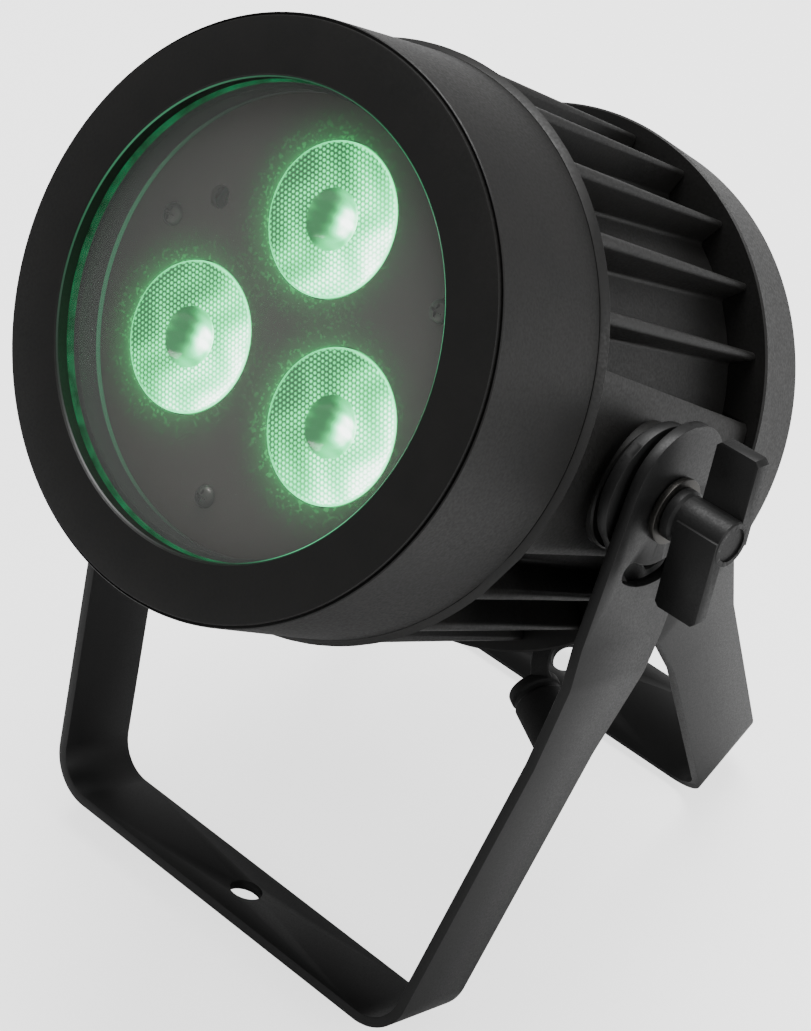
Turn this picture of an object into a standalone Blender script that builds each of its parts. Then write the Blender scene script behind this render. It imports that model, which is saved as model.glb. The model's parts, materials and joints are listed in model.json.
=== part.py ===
"""Par can light: an LED head with three lenses, hung between two U-shaped brackets.

Metres, +Z up. The origin is on the floor, in the middle of the footprint. The light faces -Y,
tilted up. Sections of the head are written as (radius, depth), where depth is measured along the
lamp's axis from its front face.
"""
import math

import bmesh
import bpy
from mathutils import Matrix, Vector

# Stance
PIVOT_HEIGHT = 0.1622
HEAD_TILT = math.radians(36.2)
FRONT_LEAN = math.radians(24.05)
REAR_LEAN = math.radians(23.2)

# Head, along its axis
PIVOT_DEPTH = 0.0756
RING_RADIUS = 0.075
RING_EDGE = 0.0013
OPENING_RADIUS = 0.0593
SEAM_DEPTH = 0.0414
FLANGE_RADIUS = 0.0777
FLANGE_REAR = 0.0440
FIN_REAR = 0.1257
FIN_TIP_FRONT = 0.0767
FIN_TIP_REAR = 0.0731
FIN_HALF_FRONT = 0.0020
FIN_HALF_REAR = 0.0011
FIN_PITCH = 15
BOSS_DRAFT = 0.6
CORE_RADIUS = 0.065
CHAMBER_RADIUS = 0.054
CHAMBER_FLOOR = 0.056
CAP_FRONT = 0.1260
CAP_FRONT_RADIUS = 0.0764
CAP_REAR_RADIUS = 0.0735
CAP_EDGE = 0.0025
HEAD_LENGTH = 0.150

# Optics
POCKET_RADIUS = 0.0636
GLASS_FRONT = 0.0048
GLASS_REAR = 0.0069
RETAINER_BORE = 0.0583
PLATE_FRONT = 0.0168
PLATE_REAR = 0.0188
LENS_RADIUS = 0.0195
LENS_PITCH = 0.0294
LENS_ANGLES = (0, 120, 240)
BOARD_FRONT = 0.0395
SCREW_PLACES = ((60, 0.047), (180, 0.047), (-77.6, 0.047))
RECESSED_PLACE = (-60, 0.040)

# Pivot, measured out from the middle along X
PAD_RADIUS = 0.01725
PAD_FACE = 0.0770
STUD_RADIUS = 0.0040
STUD_INNER = 0.0573
STUD_OUTER = 0.1043
REAR_STRAP_OUTER = 0.0833
FRONT_STRAP_OUTER = 0.0877
KNOB_INNER = 0.0900
KNOB_OUTER = 0.1073
WING_TURN = 75

# Brackets
STRAP_WIDTH = 0.0255
LUG_WIDTH = 0.0344
TAPER_START = 0.0380
TAPER_END = 0.0760
STRAP_THICK = 0.0030
ARC_ABOVE_PIVOT = 0.0055
LEG_BEND_BELOW = 0.0496
LEG_SLOPE = 0.152
LEG_BEND_RADIUS = 0.020
CORNER_RADIUS = 0.0150
SLOT_RADIUS = 0.0189
SLOT_HALF_WIDTH = 0.0030
SLOT_HALF_ANGLE = 25
BAR_HOLE_RADIUS = 0.0048

# Rear fittings, as (x, y) across the head
POWER_PLACE = (0.024, -0.030)
DATA_PLACE = (-0.024, -0.030)
VENT_PLACE = (0.0, 0.030)
CAP_SCREW_RADIUS = 0.0595

# Loose socket plug, hanging from the rear cap on its tether, measured from the pivot
PLUG_HEAD = (0.0352, 0.0108, -0.1048)
PLUG_AXIS = (0.891, -0.394, -0.200)
TETHER_FOOT = (0.0380, 0.0110, -0.0972)
TETHER_TOP = (0.0362, 0.0138, -0.0918)

GAP = 0.0003
COARSE = 40
FINE = 16


def make_material(name, colour, roughness, metallic=0.0, alpha=1.0):
    made = bpy.data.materials.new(name)
    made.use_nodes = True
    shader = made.node_tree.nodes["Principled BSDF"]
    shader.inputs["Base Color"].default_value = (*colour, 1.0)
    shader.inputs["Roughness"].default_value = roughness
    shader.inputs["Metallic"].default_value = metallic
    shader.inputs["Alpha"].default_value = alpha
    return made


def around(angle, radius):
    """A point across the head: angle in degrees from the lamp's top towards +X."""
    turn = math.radians(angle)
    return (radius * math.sin(turn), radius * math.cos(turn))


def arc(centre, radius, start, end, steps):
    """Points on an arc, angles in degrees from the first axis towards the second."""
    turns = [math.radians(start + (end - start) * i / steps) for i in range(steps + 1)]
    return [(centre[0] + radius * math.cos(t), centre[1] + radius * math.sin(t)) for t in turns]


def circle(centre, radius, segments):
    return arc(centre, radius, 0, 360, segments)[:-1]


def turn_shape(mesh, outline, segments, place):
    """Turn an outline of (radius, height) about Z; a radius of 0 is a point on the axis."""
    rings = []
    for radius, height in outline:
        count = segments if radius > 0 else 1
        spots = circle((0, 0), radius, count)
        rings.append([mesh.verts.new(place @ Vector((x, y, height))) for x, y in spots])
    pairs = list(zip(rings, rings[1:]))
    if outline[0][0] > 0:
        pairs.append((rings[-1], rings[0]))
    for first, second in pairs:
        for i in range(segments):
            j = (i + 1) % segments
            corners = [first[i % len(first)], first[j % len(first)],
                       second[j % len(second)], second[i % len(second)]]
            mesh.faces.new(list(dict.fromkeys(corners)))


def prism(mesh, outline, low, high, place):
    """Extrude a flat outline from low to high along Z."""
    ends = []
    for height in (low, high):
        ends.append([mesh.verts.new(place @ Vector((x, y, height))) for x, y in outline])
        mesh.faces.new(ends[-1])
    for i in range(len(outline)):
        j = (i + 1) % len(outline)
        mesh.faces.new((ends[0][i], ends[0][j], ends[1][j], ends[1][i]))


def add_object(name, mesh, parent, material):
    bmesh.ops.recalc_face_normals(mesh, faces=mesh.faces)
    data = bpy.data.meshes.new(name)
    mesh.to_mesh(data)
    mesh.free()
    data.shade_smooth()
    data.set_sharp_from_angle(angle=math.radians(35))
    made = bpy.data.objects.new(name, data)
    bpy.context.scene.collection.objects.link(made)
    made.parent = parent
    if material is not None:
        data.materials.append(material)
    return made


def boolean(target, name, mesh, operation):
    """Cut a tool shape from the target, or join it on."""
    tool = add_object(name, mesh, target.parent, None)
    tool.hide_render = True
    tool.display_type = "WIRE"
    step = target.modifiers.new(name, "BOOLEAN")
    step.operation = operation
    step.object = tool
    step.solver = "EXACT"
    step.use_self = True


def turned(name, section, parent, material, centre=(0, 0), segments=FINE):
    """A turned piece of the head, from its section of (radius, depth)."""
    mesh = bmesh.new()
    outline = [(radius, PIVOT_DEPTH - depth) for radius, depth in section]
    turn_shape(mesh, outline, segments, Matrix.Translation((*centre, 0)))
    return add_object(name, mesh, parent, material)


def outward(side):
    """The matrix that lays a turned or extruded shape along the pivot, outwards on one side."""
    return Matrix.Rotation(side * math.pi / 2, 4, "Y")


def on_pivot(name, section, side, parent, material, segments=FINE):
    """A turned piece on the pivot, from its section of (radius, distance out)."""
    mesh = bmesh.new()
    turn_shape(mesh, section, segments, outward(side))
    return add_object(name, mesh, parent, material)


def tube_section(inner, outer, near, far):
    return [(inner, near), (outer, near), (outer, far), (inner, far)]


def rod_section(radius, near, far):
    return [(0, near), (radius, near), (radius, far), (0, far)]


# ---- brackets -------------------------------------------------------------------------------

def strap_half_width(z):
    """The strap is widest at the pivot and tapers down the leg to the width of the bar."""
    share = min(1, max(0, (-z - TAPER_START) / (TAPER_END - TAPER_START)))
    return (LUG_WIDTH + share * (STRAP_WIDTH - LUG_WIDTH)) / 2


def strap_path(outer_x, reach):
    """Stations along the strap's outer face: (x, z, outward x, outward z, half width)."""
    slope = math.degrees(math.atan(LEG_SLOPE))
    bottom_x = outer_x - LEG_SLOPE * (reach - LEG_BEND_BELOW)
    bend_back = LEG_BEND_RADIUS * math.tan(math.radians(slope / 2))
    corner_back = CORNER_RADIUS * math.tan(math.radians((90 - slope) / 2))
    bend_centre = (outer_x - LEG_BEND_RADIUS, -LEG_BEND_BELOW + bend_back)
    corner_centre = (bottom_x - corner_back, -reach + CORNER_RADIUS)
    half = LUG_WIDTH / 2
    stations = [(outer_x, ARC_ABOVE_PIVOT + half, 1, 0, half * math.cos(math.radians(82)))]
    for height in (75, 60, 45, 30, 15, 0):
        turn = math.radians(height)
        top = ARC_ABOVE_PIVOT + half * math.sin(turn)
        stations.append((outer_x, top, 1, 0, half * math.cos(turn)))
    stations.append((outer_x, -TAPER_START, 1, 0, half))
    bends = ((bend_centre, LEG_BEND_RADIUS, 0, -slope, 3), (corner_centre, CORNER_RADIUS, -slope, -90, 6))
    for centre, radius, start, end, steps in bends:
        for x, z in arc(centre, radius, start, end, steps):
            out_x = (x - centre[0]) / radius
            out_z = (z - centre[1]) / radius
            stations.append((x, z, out_x, out_z, strap_half_width(z)))
        if centre == bend_centre:
            end_x = outer_x - LEG_SLOPE * (TAPER_END - LEG_BEND_BELOW)
            stations.append((end_x, -TAPER_END, out_x, out_z, STRAP_WIDTH / 2))
    left = [(-x, z, -nx, nz, width) for x, z, nx, nz, width in reversed(stations)]
    return stations + left


def make_bracket(name, outer_x, lean, side, parent, material):
    """A flat strap bent to a U; side is -1 where it leans forwards and 1 where it leans back."""
    reach = (PIVOT_HEIGHT - STRAP_WIDTH / 2 * math.sin(lean)) / math.cos(lean)
    mesh = bmesh.new()
    sections = []
    for x, z, out_x, out_z, width in strap_path(outer_x, reach):
        inner_x = x - out_x * STRAP_THICK
        inner_z = z - out_z * STRAP_THICK
        corners = ((x, -width, z), (x, width, z), (inner_x, width, inner_z), (inner_x, -width, inner_z))
        sections.append([mesh.verts.new(corner) for corner in corners])
    for first, second in zip(sections, sections[1:]):
        for i in range(4):
            j = (i + 1) % 4
            mesh.faces.new((first[i], first[j], second[j], second[i]))
    mesh.faces.new(sections[0])
    mesh.faces.new(sections[-1])
    bracket = add_object(name, mesh, parent, material)
    bracket.rotation_euler.x = side * lean

    holes = bmesh.new()
    through = outer_x + 0.02
    prism(holes, circle((0, 0), STUD_RADIUS + 2 * GAP, FINE), -through, through, outward(1))
    far = SLOT_RADIUS + SLOT_HALF_WIDTH
    near = SLOT_RADIUS - SLOT_HALF_WIDTH
    first_end = arc((0, 0), SLOT_RADIUS, SLOT_HALF_ANGLE, 0, 1)[0]
    last_end = (first_end[0], -first_end[1])
    slot = arc((0, 0), far, -SLOT_HALF_ANGLE, SLOT_HALF_ANGLE, 8)
    slot += arc(first_end, SLOT_HALF_WIDTH, SLOT_HALF_ANGLE, SLOT_HALF_ANGLE + 180, 4)[1:-1]
    slot += arc((0, 0), near, SLOT_HALF_ANGLE, -SLOT_HALF_ANGLE, 8)
    slot += arc(last_end, SLOT_HALF_WIDTH, 180 - SLOT_HALF_ANGLE, 360 - SLOT_HALF_ANGLE, 4)[1:-1]
    prism(holes, slot, -through, through, outward(1))
    prism(holes, circle((0, 0), BAR_HOLE_RADIUS, FINE), -reach - 0.01, -reach + 0.01, Matrix())
    boolean(bracket, name + "_holes", holes, "DIFFERENCE")
    tool = bracket.modifiers[0].object
    tool.rotation_euler.x = side * lean
    return bracket


# ---- heatsink -------------------------------------------------------------------------------

def fin_outline(tip, half, boss_top, boss_bottom):
    """The finned outline across the head, once round, as (x, y) points."""
    points = []
    boss_turns = [(boss_top, boss_bottom), (360 - boss_bottom, 360 - boss_top)]

    def add_fin(angle):
        shoulder = tip - half
        shape = ((-half, CORE_RADIUS), (-half, shoulder), (-half / 2, tip),
                 (half / 2, tip), (half, shoulder), (half, CORE_RADIUS))
        turn = math.radians(angle)
        for across, out in shape:
            x = out * math.sin(turn) + across * math.cos(turn)
            y = out * math.cos(turn) - across * math.sin(turn)
            points.append((x, y))

    def add_boss(start, end):
        points.append(around(start - BOSS_DRAFT, CORE_RADIUS))
        for i in range(7):
            points.append(around(start + (end - start) * i / 6, tip))
        points.append(around(end + BOSS_DRAFT, CORE_RADIUS))

    for step in range(360 // FIN_PITCH):
        angle = step * FIN_PITCH
        if angle in (90, 270):
            add_boss(*boss_turns[0 if angle == 90 else 1])
        elif abs(angle - 90) > FIN_PITCH and abs(angle - 270) > FIN_PITCH:
            add_fin(angle)
        beside_boss = angle in (75, 105, 255, 285)
        if not beside_boss and angle not in (90, 270):
            valley = angle + FIN_PITCH / 2
            points.append(around(valley - 1.5, CORE_RADIUS))
    return points


def make_heatsink(parent, material):
    front = fin_outline(FIN_TIP_FRONT, FIN_HALF_FRONT, 69.5, 107.3)
    rear = fin_outline(FIN_TIP_REAR, FIN_HALF_REAR, 74.2, 106.3)
    turns = [math.atan2(x, y) for x, y in front]

    def ring(radius):
        return [(radius * math.sin(t), radius * math.cos(t)) for t in turns]

    chamber = ring(CHAMBER_RADIUS)
    loops = ((ring(FLANGE_RADIUS), SEAM_DEPTH), (ring(FLANGE_RADIUS), FLANGE_REAR), (front, FLANGE_REAR),
             (rear, FIN_REAR), (chamber, FIN_REAR), (chamber, CHAMBER_FLOOR))
    mesh = bmesh.new()
    rows = [[mesh.verts.new((x, y, PIVOT_DEPTH - depth)) for x, y in loop] for loop, depth in loops]
    for row, following in zip(rows, rows[1:]):
        for i in range(len(front)):
            j = (i + 1) % len(front)
            mesh.faces.new((row[i], row[j], following[j], following[i]))
    mesh.faces.new(rows[0])
    mesh.faces.new(rows[-1])
    heatsink = add_object("heatsink_housing", mesh, parent, material)

    pads = bmesh.new()
    for side in (-1, 1):
        turn_shape(pads, rod_section(PAD_RADIUS, 0.069, PAD_FACE), 32, outward(side))
    boolean(heatsink, "pivot_pads", pads, "UNION")
    holes = bmesh.new()
    for side in (-1, 1):
        section = rod_section(STUD_RADIUS + GAP, STUD_INNER - GAP, 0.090)
        turn_shape(holes, section, FINE, outward(side))
    for angle in (45, 135, 225, 315):
        spot = Matrix.Translation((*around(angle, CAP_SCREW_RADIUS), 0))
        turn_shape(holes, rod_section(0.0023, PIVOT_DEPTH - 0.135, PIVOT_DEPTH - 0.1123), 12, spot)
    boolean(heatsink, "heatsink_holes", holes, "DIFFERENCE")
    return heatsink


# ---- head -----------------------------------------------------------------------------------

def make_front(parent, finish):
    edge = arc((RING_RADIUS - RING_EDGE, RING_EDGE), RING_EDGE, -90, 0, 3)
    turned("front_housing", [(OPENING_RADIUS, 0.0)] + edge + [
        (0.07615, SEAM_DEPTH - GAP), (0.0710, SEAM_DEPTH - GAP), (0.0710, 0.024), (0.0660, 0.020),
        (POCKET_RADIUS, 0.020), (POCKET_RADIUS, GLASS_FRONT - GAP), (OPENING_RADIUS, GLASS_FRONT - GAP),
    ], parent, finish["paint"], segments=COARSE)
    fit = POCKET_RADIUS - GAP
    turned("front_glass", rod_section(fit, GLASS_FRONT, GLASS_REAR), parent, finish["glass"], segments=COARSE)
    gasket_rear = GLASS_REAR + GAP + 0.0008
    turned("glass_gasket", tube_section(0.0577, fit, GLASS_REAR + GAP, gasket_rear), parent,
           finish["rubber"], segments=COARSE)
    turned("glass_retainer", tube_section(RETAINER_BORE, fit, gasket_rear + GAP, PLATE_FRONT - GAP), parent,
           finish["inner"], segments=COARSE)
    turned("housing_seal", tube_section(0.0662, 0.0707, 0.0391, 0.0411), parent, finish["rubber"],
           segments=COARSE)

    plate = turned("lens_plate", rod_section(fit, PLATE_FRONT, PLATE_REAR), parent, finish["plate"],
                   segments=COARSE)
    holes = bmesh.new()
    low = PIVOT_DEPTH - PLATE_REAR - 0.01
    high = PIVOT_DEPTH - PLATE_FRONT + 0.01
    for angle in LENS_ANGLES:
        outline = circle(around(angle, LENS_PITCH), LENS_RADIUS + GAP, 32)
        prism(holes, outline, low, high, Matrix())
    for place in SCREW_PLACES:
        prism(holes, circle(around(*place), 0.0019, 12), low, high, Matrix())
    prism(holes, circle(around(*RECESSED_PLACE), 0.0030, 16), low, high, Matrix())
    boolean(plate, "plate_holes", holes, "DIFFERENCE")


def make_optics(parent, finish):
    board_rear = SEAM_DEPTH - GAP
    turned("led_board", rod_section(0.056, BOARD_FRONT, board_rear), parent, finish["board"], segments=32)
    floor = BOARD_FRONT - GAP
    for number, angle in enumerate(LENS_ANGLES, 1):
        centre = around(angle, LENS_PITCH)
        turned("lens_%d" % number, [
            (0, 0.0215), (0.0052, 0.0222), (0.0058, 0.0169), (LENS_RADIUS, 0.0169), (LENS_RADIUS, 0.0191),
            (0.0183, 0.0194), (0.0142, 0.0280), (0.0072, 0.0364), (0.0052, 0.0364), (0.0050, 0.0320),
            (0, 0.0305),
        ], parent, finish["lens"], centre, 28)
        turned("lens_holder_%d" % number, [
            (0.0190, 0.0194), (0.0150, 0.0284), (0.0080, 0.0370), (0.0080, floor), (0.0105, floor),
            (0.0209, 0.0215), (0.0209, 0.0194),
        ], parent, finish["inner"], centre)
        turned("led_%d" % number, [
            (0, 0.0352), (0.0027, 0.0361), (0.0038, 0.0376), (0.0046, 0.0377), (0.0046, floor), (0, floor),
        ], parent, finish["led"], centre, 16)
    for number, place in enumerate(SCREW_PLACES, 1):
        turned("plate_screw_%d" % number, [
            (0, 0.0146), (0.0020, 0.0149), (0.0030, 0.0165), (0.0015, 0.0165), (0.0015, 0.0270), (0, 0.0270),
        ], parent, finish["steel"], around(*place), 12)
        turned("plate_standoff_%d" % number, [
            (0.0018, PLATE_REAR + GAP), (0.0032, PLATE_REAR + GAP), (0.0032, floor), (0.0018, floor),
        ], parent, finish["steel"], around(*place), 12)
    turned("recessed_screw", [
        (0, 0.0206), (0.0020, 0.0210), (0.0029, 0.0228), (0.0015, 0.0230), (0.0015, floor), (0, floor),
    ], parent, finish["steel"], around(*RECESSED_PLACE), 12)


def make_rear(parent, finish):
    edge = arc((CAP_REAR_RADIUS - CAP_EDGE, HEAD_LENGTH - CAP_EDGE), CAP_EDGE, 0, 90, 4)
    cap = turned("rear_cap", [
        (0, HEAD_LENGTH - 0.004), (CHAMBER_RADIUS, HEAD_LENGTH - 0.004), (CHAMBER_RADIUS, CAP_FRONT),
        (CAP_FRONT_RADIUS, CAP_FRONT)] + edge + [(0, HEAD_LENGTH)], parent, finish["paint"], segments=COARSE)
    holes = bmesh.new()
    back = PIVOT_DEPTH - HEAD_LENGTH
    for spot, radius in ((POWER_PLACE, 0.0097), (DATA_PLACE, 0.0097), (VENT_PLACE, 0.0045)):
        prism(holes, circle(spot, radius, FINE), back - 0.01, back + 0.01, Matrix())
    for angle in (45, 135, 225, 315):
        spot = Matrix.Translation((*around(angle, CAP_SCREW_RADIUS), 0))
        turn_shape(holes, [(0, back - 0.01), (0.0040, back - 0.01), (0.0040, back + 0.0046),
                           (0.0023, back + 0.0046), (0.0023, back + 0.03), (0, back + 0.03)], 12, spot)
    boolean(cap, "cap_holes", holes, "DIFFERENCE")
    turned("rear_seal", tube_section(0.0517, 0.0537, 0.1225, 0.1300), parent, finish["rubber"],
           segments=COARSE)
    for number, angle in enumerate((45, 135, 225, 315), 1):
        turned("cap_screw_%d" % number, [
            (0, 0.1145), (0.0020, 0.1145), (0.0020, 0.1457), (0.0036, 0.1457), (0.0036, 0.1492), (0, 0.1492),
        ], parent, finish["steel"], around(angle, CAP_SCREW_RADIUS), 12)

    for name, place in (("power_socket", POWER_PLACE), ("data_socket", DATA_PLACE)):
        turned(name, [
            (0, 0.1400), (0.0094, 0.1400), (0.0094, 0.1503), (0.0130, 0.1503), (0.0130, 0.1525),
            (0.0100, 0.1525), (0.0100, 0.1600), (0.0082, 0.1600), (0.0082, 0.1510), (0, 0.1510),
        ], parent, finish["plastic"], place)
    turned("data_socket_cap", [
        (0, 0.1603), (0.0103, 0.1603), (0.0103, 0.1528), (0.0125, 0.1528), (0.0125, 0.1620),
        (0.0115, 0.1632), (0, 0.1632),
    ], parent, finish["rubber"], DATA_PLACE)
    turned("vent_plug", [
        (0, 0.1440), (0.0042, 0.1440), (0.0042, 0.1503), (0.0070, 0.1503), (0.0070, 0.1530),
        (0.0060, 0.1538), (0, 0.1538),
    ], parent, finish["plastic"], VENT_PLACE, 16)


def make_plug(parent, finish):
    """A rubber plug for one of the sockets, and the strip that keeps it from getting lost."""
    upright = parent.matrix_local.to_3x3().inverted().to_4x4()
    aim = Vector(PLUG_AXIS).to_track_quat("Z", "Y").to_matrix().to_4x4()
    mesh = bmesh.new()
    turn_shape(mesh, [
        (0, 0), (0.0064, 0), (0.0074, 0.0010), (0.0074, 0.0030), (0.0068, 0.0034), (0.0068, 0.0050),
        (0.0075, 0.0054), (0.0073, 0.0180), (0.0066, 0.0270), (0.0052, 0.0270), (0.0052, 0.0080), (0, 0.0080),
    ], FINE, upright @ Matrix.Translation(PLUG_HEAD) @ aim)
    add_object("socket_plug", mesh, parent, finish["rubber"])
    foot = Vector(TETHER_FOOT)
    top = Vector(TETHER_TOP)
    mesh = bmesh.new()
    slant = (top - foot).to_track_quat("Z", "Y").to_matrix().to_4x4()
    strip = [(-0.0025, -0.0008), (0.0025, -0.0008), (0.0025, 0.0008), (-0.0025, 0.0008)]
    prism(mesh, strip, 0, (top - foot).length, upright @ Matrix.Translation(foot) @ slant)
    add_object("plug_tether", mesh, parent, finish["rubber"])


def make_driver(parent, finish):
    board_front = 0.0960
    board_rear = 0.0976
    turned("driver_board", rod_section(0.046, board_front, board_rear), parent, finish["board"], segments=32)
    for number, angle in enumerate((30, 150, 270), 1):
        section = rod_section(0.0030, CHAMBER_FLOOR + GAP, board_front - GAP)
        turned("driver_post_%d" % number, section, parent, finish["steel"], around(angle, 0.038), 12)
    mesh = bmesh.new()
    block = [(-0.026, -0.014), (0.006, -0.014), (0.006, 0.014), (-0.026, 0.014)]
    prism(mesh, block, PIVOT_DEPTH - 0.1200, PIVOT_DEPTH - board_rear - GAP, Matrix())
    add_object("driver_transformer", mesh, parent, finish["inner"])
    section = [(0, board_rear + GAP), (0.0080, board_rear + GAP), (0.0080, 0.1200), (0.0070, 0.1210),
               (0, 0.1210)]
    turned("driver_capacitor", section, parent, finish["inner"], (0.022, 0.006), 16)


# ---- pivot ----------------------------------------------------------------------------------

def make_knob(name, side, parent, material):
    """A wing knob: a hub with two flat wings, one each side of the stud."""
    mesh = bmesh.new()
    turn_shape(mesh, [(0, KNOB_INNER), (0.0070, KNOB_INNER), (0.0070, 0.0922), (0.0063, 0.0930),
                      (0.0063, 0.1068), (0.0058, KNOB_OUTER), (0, KNOB_OUTER)], FINE, Matrix())
    knob = add_object(name, mesh, parent, material)
    wing = [(-0.0020, 0.0942), (0.0211, 0.0942), (0.0223, 0.0954), (0.0223, 0.1058), (0.0211, 0.1070),
            (-0.0020, 0.1070)]
    wings = bmesh.new()
    stand = Matrix.Rotation(math.pi / 2, 4, "X")
    for half_turn in (0, math.pi):
        spin = Matrix.Rotation(half_turn, 4, "Z")
        prism(wings, wing, 0.0024, 0.0067, spin @ stand)
    boolean(knob, name + "_wings", wings, "UNION")
    bore = bmesh.new()
    section = rod_section(STUD_RADIUS + GAP, KNOB_INNER - 0.005, STUD_OUTER + GAP)
    turn_shape(bore, section, FINE, Matrix())
    boolean(knob, name + "_bore", bore, "DIFFERENCE")
    for piece in (knob, knob.modifiers[0].object, knob.modifiers[1].object):
        piece.matrix_local = knob_stand(side)
    return knob


def knob_stand(side):
    """The wings lean back from upright; the left knob is the same part turned round."""
    turn = math.radians(WING_TURN)
    along = (0, side * math.cos(turn), math.sin(turn))
    across = (0, -side * math.sin(turn), math.cos(turn))
    out = (side, 0, 0)
    return Matrix((along, across, out)).transposed().to_4x4()


def make_pivot(side, tag, parents, finish):
    head, front, knob = parents
    rear_inner = REAR_STRAP_OUTER - STRAP_THICK
    front_inner = FRONT_STRAP_OUTER - STRAP_THICK
    hole = STUD_RADIUS + GAP
    on_pivot("clamp_stud_" + tag, rod_section(STUD_RADIUS, STUD_INNER, STUD_OUTER), side, head,
             finish["steel"], 16)
    on_pivot("friction_washer_" + tag, tube_section(hole, 0.0150, PAD_FACE + GAP, rear_inner - GAP), side,
             head, finish["rubber"])
    on_pivot("spacer_washer_" + tag, tube_section(hole, 0.0110, REAR_STRAP_OUTER + GAP, front_inner - GAP),
             side, head, finish["steel"])
    on_pivot("knob_washer_" + tag, tube_section(hole, 0.0090, FRONT_STRAP_OUTER + GAP, KNOB_INNER - GAP),
             side, head, finish["steel"])
    make_knob("wing_knob_" + tag, side, knob, finish["plastic"])


def make_light():
    finish = {
        "paint": make_material("black_powder_coat", (0.016, 0.016, 0.016), 0.5),
        "bracket": make_material("bracket_powder_coat", (0.014, 0.014, 0.014), 0.48),
        "inner": make_material("black_inner_plastic", (0.02, 0.02, 0.02), 0.5),
        "plate": make_material("dark_grey_plate", (0.09, 0.085, 0.08), 0.6),
        "plastic": make_material("black_knob_plastic", (0.012, 0.012, 0.012), 0.45),
        "rubber": make_material("black_rubber", (0.01, 0.01, 0.01), 0.8),
        "steel": make_material("zinc_plated_steel", (0.35, 0.35, 0.34), 0.35, 1.0),
        "board": make_material("circuit_board", (0.02, 0.05, 0.03), 0.5),
        "glass": make_material("clear_glass", (0.9, 0.95, 0.92), 0.05, 0.0, 0.3),
        "lens": make_material("green_lit_lens", (0.25, 0.9, 0.5), 0.2),
        "led": make_material("led_dome", (0.4, 1.0, 0.6), 0.2),
    }
    front_reach = ((PIVOT_DEPTH - RING_EDGE) * math.cos(HEAD_TILT)
                   + (RING_RADIUS - RING_EDGE) * math.sin(HEAD_TILT) + RING_EDGE)
    rear_reach = ((HEAD_LENGTH - PIVOT_DEPTH - CAP_EDGE) * math.cos(HEAD_TILT)
                  + (CAP_REAR_RADIUS - CAP_EDGE) * math.sin(HEAD_TILT) + CAP_EDGE)
    pivot = Vector((0, (front_reach - rear_reach) / 2, PIVOT_HEIGHT))

    def axis_empty(name):
        made = bpy.data.objects.new(name, None)
        bpy.context.scene.collection.objects.link(made)
        made.location = pivot
        return made

    front = axis_empty("front_bracket_axis")
    rear = axis_empty("rear_bracket_axis")
    head = axis_empty("head_axis")
    head.rotation_euler.x = math.pi / 2 - HEAD_TILT
    make_bracket("front_bracket", FRONT_STRAP_OUTER, FRONT_LEAN, -1, front, finish["bracket"])
    make_bracket("rear_bracket", REAR_STRAP_OUTER, REAR_LEAN, 1, rear, finish["bracket"])
    make_front(head, finish)
    make_optics(head, finish)
    make_heatsink(head, finish["paint"])
    make_rear(head, finish)
    make_driver(head, finish)
    make_plug(head, finish)
    for side, tag in ((1, "right"), (-1, "left")):
        knob = axis_empty("wing_knob_%s_axis" % tag)
        make_pivot(side, tag, (front, front, knob), finish)


for old in list(bpy.data.objects):
    bpy.data.objects.remove(old, do_unlink=True)
make_light()
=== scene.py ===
"""Looks of the par can light: finely turned and bent pieces with their coats, glass, lit lenses and rubber.

Sections of the head are (radius, depth) in metres, where depth runs back along the lamp's axis from
its front face. Pieces on the pivot are (radius, distance out from the middle).
"""

import json
import math

import bmesh
import bpy
from mathutils import Matrix, Vector


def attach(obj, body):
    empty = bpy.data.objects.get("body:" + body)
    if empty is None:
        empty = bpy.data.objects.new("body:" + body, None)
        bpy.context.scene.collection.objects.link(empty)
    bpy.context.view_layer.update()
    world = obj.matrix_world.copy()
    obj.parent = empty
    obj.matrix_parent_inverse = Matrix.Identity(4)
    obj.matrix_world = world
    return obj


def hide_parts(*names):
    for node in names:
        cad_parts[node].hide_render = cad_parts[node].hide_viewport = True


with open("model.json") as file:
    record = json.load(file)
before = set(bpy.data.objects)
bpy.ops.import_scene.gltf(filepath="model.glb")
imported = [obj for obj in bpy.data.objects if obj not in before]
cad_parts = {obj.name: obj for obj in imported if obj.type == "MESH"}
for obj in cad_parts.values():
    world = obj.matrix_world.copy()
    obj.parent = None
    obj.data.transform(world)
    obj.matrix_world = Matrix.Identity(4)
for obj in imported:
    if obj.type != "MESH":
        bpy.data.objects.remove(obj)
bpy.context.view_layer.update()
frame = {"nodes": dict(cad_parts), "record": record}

MM = 0.001
HEAD_TILT = math.radians(36.2)
FRONT_LEAN = math.radians(24.05)
REAR_LEAN = math.radians(23.2)
PIVOT_DEPTH = 75.6 * MM
HEAD_LENGTH = 150 * MM
SEAM_DEPTH = 41.4 * MM
FIN_REAR = 125.7 * MM
CORE_RADIUS = 65 * MM
FIN_PITCH = 15
LENS_ANGLES = (0, 120, 240)
LENS_PITCH = 29.4 * MM
LENS_RADIUS = 19.5 * MM
LENS_SEGMENTS = 300
SCREW_PLACES = ((60, 47 * MM), (180, 47 * MM), (-77.6, 47 * MM))
RECESSED_PLACE = (-60, 40 * MM)
CAP_SCREW_ANGLES = (45, 135, 225, 315)
CAP_SCREW_RADIUS = 59.5 * MM
POWER_PLACE = (24 * MM, -30 * MM)
DATA_PLACE = (-24 * MM, -30 * MM)
VENT_PLACE = (0, 30 * MM)
STRAP_WIDTH = 25.5 * MM
LUG_WIDTH = 34.4 * MM
TAPER_START = 38 * MM
TAPER_END = 76 * MM
STRAP_THICK = 3 * MM
WING_TURN = 75

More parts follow.
